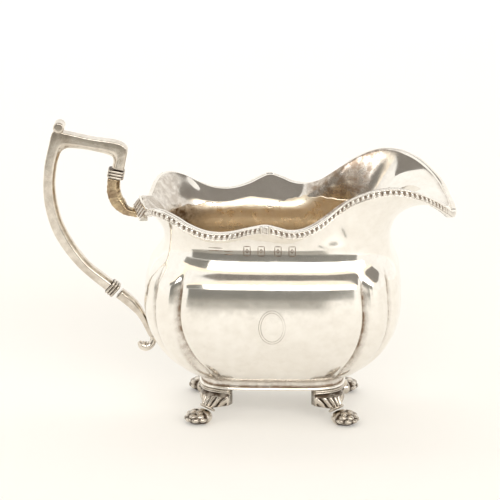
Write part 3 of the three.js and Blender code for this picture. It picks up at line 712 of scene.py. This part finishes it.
# Painted shadow: the band's lower edge, where it meets the bead, is darkened as the shadow in the gap, over
# tarnish; tarnish over the whole band and a darker top edge.
painted_gap_shadow_and_tarnish = 0.95 * (1 - smoothstep(collar_z, 13.5, 14.3))
store(collar, "hollow", painted_gap_shadow_and_tarnish + 0.35 + 0.4 * smoothstep(collar_z, 15.1, 15.4))
finish_piece(collar, sheet_metal, "raised_silver", "base_collar")
base_wire = base_moulding("base_bead", BEAD_PROFILE)
mark_hollows(base_wire, 2.0)
finish_piece(base_wire, wire_metal, "border_silver", "base_wire")
plate = solid("base_panel", [base_ring(inset, z) for inset, z in PANEL_PROFILE])
mark_hollows(plate, 2.0)
finish_piece(plate, sheet_metal, "raised_silver", "base_plate")


# ------------------------------------------------------------------ border round the lip
def lip_point(degrees):
    radius, height = lip_at(degrees)
    return polar(degrees, radius, height)


def lip_outward(degrees):
    """Level direction square to the lip, pointing away from the body."""
    sign = np.sign(degrees)
    size = np.abs(degrees)
    past = size > BACK_MITRE[0]
    low = np.where(past, BACK_MITRE[0], np.maximum(size - 0.6, 0.02))
    high = np.where(past, 180.0, np.minimum(size + 0.6, BACK_MITRE[0]))
    step = lip_point(sign * high) - lip_point(sign * low)
    level = np.stack([step[..., 1], -step[..., 0], 0 * step[..., 0]], -1) * sign[..., None]
    return unit(level)


def wire_profile():
    """Corners of the border's section as (out, up, share of gadroon there, height in the gadroon)."""
    top = [(0.02, -0.02), (0.1, 0.1), (0.75, 0.12), (1.3, 0.08), (1.5, -0.08), (1.55, -0.25), (1.45, -0.42),
           (1.12, -0.52)]
    rows = [(out, up, 0.0, 0.0) for out, up in top]
    for i in range(11):
        t = i / 10
        swell = math.sin(math.pi * (0.06 + 0.88 * t)) ** 0.55
        rows.append((1.0, -0.58 - 1.52 * t, swell, t))
    rows += [(out, up, 0.0, 1.0) for out, up in
             [(1.02, -2.14), (1.22, -2.22), (1.28, -2.36), (1.18, -2.50), (0.8, -2.6), (-0.55, -2.6)]]
    return rows


def gadrooned_run(name, start, end, side, slant):
    """One length of border wire with evenly spaced lobes."""
    degrees = np.linspace(start, end, 4000)
    path = lip_point(degrees)
    length = np.concatenate([[0], np.cumsum(np.linalg.norm(np.diff(path, axis=0), axis=1))])
    lobes = round(length[-1] / GADROON_PITCH)
    stations = np.linspace(0, length[-1], lobes * 12 + 1)
    degrees = np.interp(stations, length, degrees) * side
    edge, out_way = lip_point(degrees), lip_outward(degrees)
    phase = stations / length[-1] * lobes
    rows, hollows = [], []
    for out, up, swell, height in wire_profile():
        place_in = (phase + slant * (height - 0.5)) % 1.0
        width = 0.62 + 0.3 * smoothstep(height, 0.45, 0.95)
        lobe = np.sqrt(np.maximum(1 - (np.clip(np.abs(2 * place_in - 1), 0, width) / width) ** 2, 0))
        bulge = GADROON_DEPTH * (swell * (0.05 + 0.95 * lobe) - (0.12 if swell else 0))
        rows.append(edge + out_way * (out + bulge)[:, None] + np.array([0, 0, up]))
        # Painted shadow: a dark line along the groove under the gadroons.
        under = 1.0 if -2.2 < up < -2.05 else 0.0
        hollows.append((1 - lobe) ** 0.9 * (1.0 if swell else 0.0) * (1 - 0.45 * height) + 0.35 * under)
    return solid(name, np.stack(rows, 1), hollows=np.stack(hollows, 1))


TABLET_SPAN = 2.5
for word, side in (("near", -1), ("far", 1)):
    before, after = TABLET_ANGLE - TABLET_SPAN, TABLET_ANGLE + TABLET_SPAN
    run = gadrooned_run(f"gadroons_front_{word}", 0.35, before, side, GADROON_SLANT)
    finish_piece(run, wire_metal, "border_silver", f"border_front_{word}")
    run = gadrooned_run(f"gadroons_back_{word}", after, BACK_MITRE[0] - 0.2, side, -GADROON_SLANT)
    finish_piece(run, wire_metal, "border_silver", f"border_back_{word}")


def side_tablet(word, side):
    """A plain square tablet with a sunk margin round a raised face."""
    degrees = np.array([side * TABLET_ANGLE])
    edge, out_way = lip_point(degrees)[0], lip_outward(degrees)[0]
    along_lip = np.cross(out_way, (0, 0, 1))
    centre = edge + np.array([0, 0, -1.3])
    rings = []
    levels = [(0.3, 1.3, 1.45), (1.75, 1.3, 1.45), (1.9, 1.24, 1.38), (1.97, 1.1, 1.24), (1.99, 0.9, 1.0),
              (1.86, 0.84, 0.94), (1.86, 0.5, 0.6)]
    for out, half_along, half_up in levels:
        ring = []
        for k in range(40):
            turn = (k + 0.5) / 40 * 2 * math.pi
            size = (abs(math.cos(turn)) ** 9 + abs(math.sin(turn)) ** 9) ** (-1 / 9)
            ring.append(centre + out_way * out + along_lip * half_along * size * math.cos(turn)
                        + np.array([0, 0, half_up * size * math.sin(turn)]))
        rings.append(ring)
    tablet = solid(f"tablet_{word}", rings)
    mark_hollows(tablet, 3.0)
    finish_piece(tablet, wire_metal, "border_silver", f"side_tablet_{word}")


side_tablet("near", -1)
side_tablet("far", 1)


def back_bracket():
    """The pointed piece at the back: a plain edge, a sloping gadrooned face and a foot."""
    half = np.linspace(BACK_MITRE[0] + 0.5, 180, 61)
    degrees = np.concatenate([-half, half[:-1][::-1]])
    edge = lip_point(degrees)
    out_way = lip_outward(degrees)
    centre = np.abs(degrees) >= 179.99
    out_way[centre] = (-1.03, 0, 0)
    path = np.concatenate([[0], np.cumsum(np.linalg.norm(np.diff(edge, axis=0), axis=1))])
    lobes = 2 * round(path[-1] / GADROON_PITCH / 2)
    phase = path / path[-1] * lobes
    rows, hollows = [], []
    section = [(0.3, 0.0, 0), (0.5, 0.1, 0), (0.9, 0.08, 0), (1.1, -0.12, 0), (1.05, -0.3, 0)]
    section += [(1.0 + 2.0 * t, -0.35 - 2.6 * t, math.sin(math.pi * (0.06 + 0.88 * t)) ** 0.5)
                for t in np.linspace(0, 1, 14)]
    section += [(3.1, -3.1, 0), (3.25, -3.3, 0), (3.25, -3.75, 0), (3.0, -4.1, 0), (0.3, -4.15, 0)]
    for out, up, swell in section:
        lobe = np.sqrt(np.maximum(1 - (np.clip(np.abs(2 * (phase % 1.0) - 1), 0, 0.7) / 0.7) ** 2, 0))
        hollows.append((1 - lobe) ** 0.9 + 0.15 if swell else 0 * lobe)
        out_here = out + 0.45 * swell * (lobe - 0.8)
        up_here = up + 0.4 * swell * (lobe - 0.8)
        rows.append(edge + out_way * out_here[:, None] + np.stack([0 * up_here, 0 * up_here, up_here], -1)
                    if swell else edge + out_way * out + np.array([0, 0, up]))
    bracket = solid("back_bracket", np.stack(rows, 1), hollows=np.stack(hollows, 1))
    finish_piece(bracket, wire_metal, "border_silver", "border_back_bracket")


back_bracket()


# ------------------------------------------------------------------ handle
def between(low, high, a, b, x):
    return (high - x) / (high - low) * a + (x - low) / (high - low) * b


def smooth_path(points, steps):
    """Centripetal Catmull-Rom curve through points, read at even parameter steps."""
    pts = np.array(points, float)
    first, last = 2 * pts[0] - pts[1], 2 * pts[-1] - pts[-2]
    pts = np.vstack([first, pts, last])
    result = []
    spans = len(pts) - 3
    for t in np.linspace(0, spans, steps):
        i = min(int(t), spans - 1)
        p = pts[i:i + 4]
        gaps = np.maximum(np.linalg.norm(np.diff(p, axis=0), axis=1), 1e-6) ** 0.5
        knots = np.concatenate([[0], np.cumsum(gaps)])
        x = knots[1] + (t - i) * (knots[2] - knots[1])
        a = [between(knots[k], knots[k + 1], p[k], p[k + 1], x) for k in range(3)]
        b = [between(knots[k], knots[k + 2], a[k], a[k + 1], x) for k in range(2)]
        result.append(between(knots[1], knots[2], b[0], b[1], x))
    return np.array(result)


def rounded_corners(corners, cut, steps=4):
    """A closed outline with each corner replaced by a short round."""
    outline = []
    count = len(corners)
    for i in range(count):
        corner = np.array(corners[i], float)
        before = np.array(corners[i - 1], float) - corner
        after = np.array(corners[(i + 1) % count], float) - corner
        start = corner + before / np.linalg.norm(before) * min(cut, np.linalg.norm(before) * 0.4)
        end = corner + after / np.linalg.norm(after) * min(cut, np.linalg.norm(after) * 0.4)
        for k in range(steps + 1):
            t = k / steps
            outline.append((1 - t) ** 2 * start + 2 * t * (1 - t) * corner + t * t * end)
    return outline


def handle_piece(name, cuts, steps, half_width, seed, unevenness):
    outer = smooth_path([(c[0], c[1]) for c in cuts], steps)
    inner = smooth_path([(c[2], c[3]) for c in cuts], steps)
    rng = np.random.default_rng(seed)
    waves = rng.uniform(0, 6.28, (4, 2))
    rings = []
    for i in range(steps):
        depth = np.linalg.norm(outer[i] - inner[i])
        w, narrow = half_width, 1.2
        corners = [(1, -w), (0.5, -w), (0.26, -w), (0, -narrow), (0, narrow), (0.26, w), (0.5, w), (1, w)]
        outline = rounded_corners([(s * depth, y) for s, y in corners], 0.45)
        ring = []
        for reach, y in outline:
            share = reach / depth
            along_way = i / steps * 40
            wobble = unevenness * sum(math.sin(along_way * (k + 1) * 0.7 + waves[k][0] + y * waves[k][1])
                                      for k in range(4)) / 4
            spot = inner[i] + (outer[i] - inner[i]) * (share + wobble / depth * (2 * share - 1))
            ring.append((spot[0], y * (1 + wobble * 0.05), spot[1]))
        rings.append(ring)
    handle = solid(name, rings)
    mark_hollows(handle, 1.2, 2)
    return handle


grip = handle_piece("grip", GRIP_CUTS, 260, 2.5, 11, 0.05)
finish_piece(grip, cast_metal, "cast_silver", "handle_grip")
upper = handle_piece("upper_branch", UPPER_BRANCH_CUTS, 90, 2.2, 12, 0.16)
finish_piece(upper, worn_metal, "cast_silver", "handle_upper_branch")
lower = handle_piece("lower_branch", LOWER_BRANCH_CUTS, 70, 2.2, 13, 0.06)
finish_piece(lower, cast_metal, "cast_silver", "handle_lower_branch")


def leaning_block(name, node, lean, depth, width, height, ridges):
    """A stack of half-round ridges on a squarish block, square to the handle, centred on its CAD box."""
    low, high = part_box(node)
    middle = np.array([(low.x + high.x) / 2 / MM - AXIS_X, 0, (low.z + high.z) / 2 / MM])
    tilt = math.radians(lean)
    up_way = np.array([math.sin(tilt), 0, math.cos(tilt)])
    deep_way = np.array([math.cos(tilt), 0, -math.sin(tilt)])
    rings = []
    rows = ridges * 10
    for i in range(rows + 1):
        share = i / rows
        place_in = (share * ridges) % 1.0 if i < rows else 1.0
        ridge = math.sqrt(max(1 - (2 * place_in - 1) ** 2, 0))
        inset = 0.55 * (1 - ridge)
        ring = []
        for k in range(48):
            turn = (k + 0.5) / 48 * 360
            radius = float(outline_radius(turn, (depth / 2 - inset, width / 2 - inset, 5)))
            spot = middle + deep_way * radius * math.cos(math.radians(turn))
            spot = spot + up_way * height * (share - 0.5)
            ring.append(spot + np.array([0, radius * math.sin(math.radians(turn)), 0]))
        rings.append(ring)
    hollows = []
    for i in range(rows + 1):
        ridge = math.sqrt(max(1 - (2 * ((i / rows * ridges) % 1.0) - 1) ** 2, 0))
        hollows.append([(1 - ridge) ** 0.8] * 48)
    block = solid(name, rings, hollows=hollows)
    finish_piece(block, cast_metal, "cast_silver", node)


leaning_block("collar_upper", "handle_upper_collar", 11, 6.0, 6.2, 3.2, 3)
leaning_block("collar_lower", "handle_lower_collar", 131, 5.5, 5.8, 3.2, 3)


def thumb_roll():
    """A short barrel across the top of the handle, with a turned ring in each end."""
    low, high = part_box("handle_thumb_roll")
    middle = np.array([(low.x + high.x) / 2 / MM - AXIS_X, 0, (low.z + high.z) / 2 / MM])
    half = (high.y - low.y) / 2 / MM
    radius = (high.z - low.z) / 2 / MM
    profile = [(0.3, -half), (1.0, -half), (radius - 0.42, -half + 0.02), (radius - 0.3, -half + 0.08),
               (radius - 0.1, -half + 0.26), (radius, -half + 0.5), (radius, -half + 1.0)]
    profile += [(r, -y) for r, y in profile[::-1]]
    turn = np.linspace(0, 2 * np.pi, 56, endpoint=False)
    rings = [np.stack([middle[0] + r * np.cos(turn), y + 0 * turn, middle[2] + r * np.sin(turn)], -1)
             for r, y in profile]
    roll = solid("roll", rings)
    mark_hollows(roll, 2.0, 1)
    finish_piece(roll, cast_metal, "cast_silver", "handle_thumb_roll")


thumb_roll()


def tail_scroll():
    centres = smooth_path([(x, z) for x, z, _ in TAIL_CURL], 60)
    rows = np.linspace(0, len(TAIL_CURL) - 1, 60)
    radii = np.interp(rows, np.arange(len(TAIL_CURL)), [r for _, _, r in TAIL_CURL])
    forward = unit(np.gradient(centres, axis=0))
    rings = []
    for (x, z), radius, (fx, fz) in zip(centres, radii, forward):
        turn = np.linspace(0, 2 * np.pi, 28, endpoint=False)
        groove = 1 - 0.10 * np.exp(-((np.sin(turn)) / 0.22) ** 2) * (np.cos(turn) > 0)
        away = radius * groove * np.cos(turn)
        rings.append(np.stack([x - fz * away, radius * 1.15 * np.sin(turn), z + fx * away], -1))
    tail = solid("tail_curl", rings)
    mark_hollows(tail, 1.5, 2)
    finish_piece(tail, cast_metal, "cast_silver", "handle_tail_scroll")


tail_scroll()


# ------------------------------------------------------------------ feet
KNEE_SPAN = (20.0, 49.5)
ANKLE = {"x": 22.8, "y": 16.4, "z": 5.2, "lean": 33, "half": 0.45}
OUTWARD_ANGLE = math.radians(40)
outward_flat = np.array([math.cos(OUTWARD_ANGLE), math.sin(OUTWARD_ANGLE), 0])
across_flat = np.array([-outward_flat[1], outward_flat[0], 0])
ankle_centre = np.array([ANKLE["x"], ANKLE["y"], ANKLE["z"]])
lean = math.radians(ANKLE["lean"])
ankle_axis = np.array([0, 0, math.cos(lean)]) - outward_flat * math.sin(lean)
REEDS = 7
PAW_CENTRE = (25.9, 18.2, 2.2)
PAW_SIZE = (5.1, 4.5, 2.9)  # half length, half width and half height
KNUCKLE_ROWS = ((-2, 5, 156), (30, 4, 130), (61, 3, 128))  # rise, count and spread in degrees
KNUCKLE_SIZE = 0.35  # share of the paw's own size


def clear_of_ankle(points, above):
    """Moves points upright until they clear the ankle ring's plane."""
    half = ANKLE["half"] + 0.1
    height = (points - ankle_centre) @ ankle_axis
    missing = np.maximum(half - height, 0) if above else np.minimum(-half - height, 0)
    points = points.copy()
    points[..., 2] += missing / ankle_axis[2]
    return points


def knee():
    """The bracket under a corner: two fillets, a cove and a fan of reeds over the ankle, for +X +Y."""
    shares = np.linspace(0, 1, 121)
    degrees = KNEE_SPAN[0] + (KNEE_SPAN[1] - KNEE_SPAN[0]) * shares
    radius = outline_radius(degrees, BASE)
    from_corner = np.abs(shares * 2 - 1)
    walk = polar(degrees, radius, 0)
    length = np.concatenate([[0], np.cumsum(np.linalg.norm(np.diff(walk, axis=0), axis=1))])
    sideways = length - length[-1] / 2
    lower_z = 4.8 + (6.7 - 4.8) * from_corner
    bend = np.maximum(0, 1 - (from_corner / 0.42) ** 2)
    bulge = 1.0 * (1 - from_corner**4)
    rows, hollows = [], []
    moulding = [
        (-0.35, 12.1), (0.05, 11.95), (0.1, 11.7), (-0.15, 11.45), (-0.25, 11.35), (0.0, 11.2),
        (0.02, 11.0), (-0.25, 10.8), (-0.5, 10.5), (-0.55, 10.1), (-0.35, 9.7),
    ]
    for out, z in moulding:
        rows.append(polar(degrees, radius + out, z))
        hollows.append(0 * degrees + (0.7 if out < -0.2 and z < 12 else 0.1))
    reach = np.linspace(0, 1, 34)
    frame = smoothstep(from_corner, 0.88, 0.96)
    for t in reach:
        z = 9.5 + (lower_z - 9.5) * t
        top = bulge * 0.55 - 0.25
        out = top + (2.4 * bend - top) * t**1.6 + 0.5 * np.sin(math.pi * t) * bulge
        angle = np.arctan2(sideways, z - 2.2)
        widest = math.atan2(length[-1] / 2, 5.2)
        place_in = ((angle / widest + 1) / 2 * REEDS) % 1.0
        lobe = np.sqrt(np.maximum(1 - (np.clip(np.abs(2 * place_in - 1), 0, 0.88) / 0.88) ** 2, 0))
        rounding = smoothstep(t, 0.0, 0.14) * (1 - 0.4 * smoothstep(t, 0.8, 1.0))
        out = out + 1.0 * rounding * (lobe - 0.92) * (1 - frame)
        rows.append(clear_of_ankle(polar(degrees, radius + out, z), True))
        furrow = (1 - lobe) ** 0.85 * smoothstep(t, 0.0, 0.1)
        hollows.append((furrow + 0.5 * (1 - smoothstep(t, 0.02, 0.12))) * (1 - frame))
    for out, drop in ((-0.4, 0.25), (-2.2, 0.1), (-2.4, 0)):
        rows.append(clear_of_ankle(polar(degrees, radius + out, lower_z - drop), True))
    rows.append(polar(degrees, radius - 2.4, 11.9))
    rows.append(polar(degrees, radius - 2.2, 12.1))
    hollows.extend([0.3 + 0 * degrees] * (len(rows) - len(hollows)))
    return np.stack(rows, 1), np.stack(hollows, 1)


def ankle():
    profile = [
        (0.4, -0.45), (2.4, -0.45), (2.72, -0.38), (2.9, -0.18), (2.95, 0), (2.9, 0.18), (2.72, 0.38),
        (2.4, 0.45), (0.4, 0.45),
    ]
    side_a = unit(np.cross(ankle_axis, (0, 0, 1)))
    side_b = np.cross(ankle_axis, side_a)
    turn = np.linspace(0, 2 * np.pi, 48, endpoint=False)[:, None]
    return np.stack([ankle_centre + ankle_axis * up + side_a * r * np.cos(turn) + side_b * r * np.sin(turn)
                     for r, up in profile])


def paw():
    """A broad paw of rounded knuckles in rows, with dark furrows between, flat underneath."""
    centres = []
    for row, count, spread in KNUCKLE_ROWS:
        up = math.radians(row)
        for k in range(count):
            side = math.radians(spread * (k / (count - 1) - 0.5))
            centres.append((math.cos(up) * math.cos(side), math.cos(up) * math.sin(side), math.sin(up)))
    centres = np.array(centres)
    rise = np.linspace(-0.75, 1, 46) * (np.pi / 2) * 0.985
    turn = np.linspace(-np.pi, np.pi, 110, endpoint=False)
    rise_grid, turn_grid = np.meshgrid(rise, turn, indexing="ij")
    level = np.cos(rise_grid)
    way = np.stack([level * np.cos(turn_grid), level * np.sin(turn_grid), np.sin(rise_grid)], -1)
    apart = np.linalg.norm(way[..., None, :] - centres, axis=-1) / KNUCKLE_SIZE
    dome = np.sqrt(np.maximum(1 - apart**2, 0)).max(-1)
    front = smoothstep(np.cos(turn_grid), -0.35, 0.0)
    swell = 1 + 0.19 * (dome - 0.72) * front
    lump = way * np.array(PAW_SIZE) * swell[..., None]
    points = np.array(PAW_CENTRE) + lump[..., :1] * outward_flat + lump[..., 1:2] * across_flat
    points = points + lump[..., 2:] * np.array([0, 0, 1.0])
    points[..., 2] = np.maximum(points[..., 2], 0)
    return clear_of_ankle(points, False), (1 - dome) ** 0.9 * front


ankle_rings = ankle()
foot_parts = {"knee": knee(), "ankle": (ankle_rings, 0.2 + 0 * ankle_rings[..., 0]), "paw": paw()}
CORNERS = (("front_near", 1, -1), ("front_far", 1, 1), ("back_near", -1, -1), ("back_far", -1, 1))
for word, sx, sy in CORNERS:
    flip = np.array([sx, sy, 1])
    for kind, (rings, hollows) in foot_parts.items():
        foot = solid(f"{kind}_{word}", rings * flip, hollows=hollows)
        finish_piece(foot, cast_metal, "cast_silver", f"foot_{kind}_{word}")

# ------------------------------------------------------------------ stage
def card(name, corners, colour, glow):
    """A flat card of the studio; glow is its own brightness."""
    mesh = bpy.data.meshes.new(name)
    mesh.from_pydata(corners, [], [tuple(range(len(corners)))])
    obj = bpy.data.objects.new(name, mesh)
    bpy.context.scene.collection.objects.link(obj)
    s = Shader(name)
    s.body.inputs["Base Color"].default_value = (*colour, 1)
    s.body.inputs["Roughness"].default_value = 0.9
    s.body.inputs["Specular IOR Level"].default_value = 0.1
    s.body.inputs["Emission Color"].default_value = (*colour, 1)
    s.body.inputs["Emission Strength"].default_value = glow
    mesh.materials.append(s.material)
    return obj


TABLE_EDGE = -0.36
CARD_Y = -1.75
card("table_top", [(-4, -4, 0), (4, -4, 0), (4, 4, 0), (-4, 4, 0)], (0.84, 0.827, 0.80), 0.20)
card("dark_floor", [(-1.6, CARD_Y, 0.001), (0.36, CARD_Y, 0.001), (0.08, TABLE_EDGE, 0.001),
                    (-0.36, TABLE_EDGE, 0.001)], (0.34, 0.33, 0.305), 0)
card("dark_front", [(-1.65, CARD_Y, 0), (1.35, CARD_Y, 0), (1.35, CARD_Y, 0.56), (-1.65, CARD_Y, 0.56)],
     (0.19, 0.187, 0.175), 0.5)
card("dark_left", [(-2.4, CARD_Y, 0.60), (-0.62, CARD_Y, 0.60), (-0.62, -1.35, 1.26), (-2.4, -1.35, 1.26)],
     (0.19, 0.187, 0.175), 0.5)
card("soft_box", [(-0.62, CARD_Y, 0.60), (1.9, CARD_Y, 0.60), (1.9, -1.35, 1.26), (-0.62, -1.35, 1.26)],
     (1, 0.985, 0.96), 3.0)
card("cream_strip", [(-3, -1.36, 1.26), (3, -1.36, 1.26), (3, -1.22, 1.5), (-3, -1.22, 1.5)],
     (0.70, 0.64, 0.55), 0.8)
card("ceiling", [(-1.1, -0.35, 1.6), (-0.35, -1.2, 1.5), (3.0, -1.2, 1.5), (3.0, 0.3, 1.8),
                 (-1.5, 0.3, 1.8)], (0.17, 0.16, 0.15), 0.5)
sun_data = bpy.data.lights.new("table_fill", "SUN")
sun_data.energy = 0.75
sun_data.angle = math.radians(70)
sun_data.color = (1.0, 0.98, 0.95)
sun = bpy.data.objects.new("table_fill", sun_data)
sun.rotation_euler = (math.radians(12), math.radians(-8), 0)
sun.visible_glossy = False
bpy.context.scene.collection.objects.link(sun)
world = bpy.data.worlds.new("studio")
bpy.context.scene.world = world
world.use_nodes = True
world.node_tree.nodes["Background"].inputs["Color"].default_value = (0.98, 0.955, 0.905, 1)
world.node_tree.nodes["Background"].inputs["Strength"].default_value = 1.15

# ------------------------------------------------------------------ camera
TARGET = (0.00004, 0.0, 0.0586)
DISTANCE = 1.05
VIEW_TURN = math.radians(1.5)
VIEW_RISE = math.radians(16.0)
camera_data = bpy.data.cameras.new("camera")
camera = bpy.data.objects.new("camera", camera_data)
bpy.context.scene.collection.objects.link(camera)
level_part = math.cos(VIEW_RISE)
back = (math.sin(VIEW_TURN) * level_part, -math.cos(VIEW_TURN) * level_part, math.sin(VIEW_RISE))
camera.location = [t + DISTANCE * b for t, b in zip(TARGET, back)]
camera.rotation_euler = (math.radians(90) - VIEW_RISE, 0, VIEW_TURN)
camera_data.sensor_width = 36
camera_data.lens = 213.1
camera_data.clip_start = 0.05
camera_data.clip_end = 30
bpy.context.scene.camera = camera
bpy.context.scene.view_settings.view_transform = "Standard"
bpy.context.scene.view_settings.look = "None"
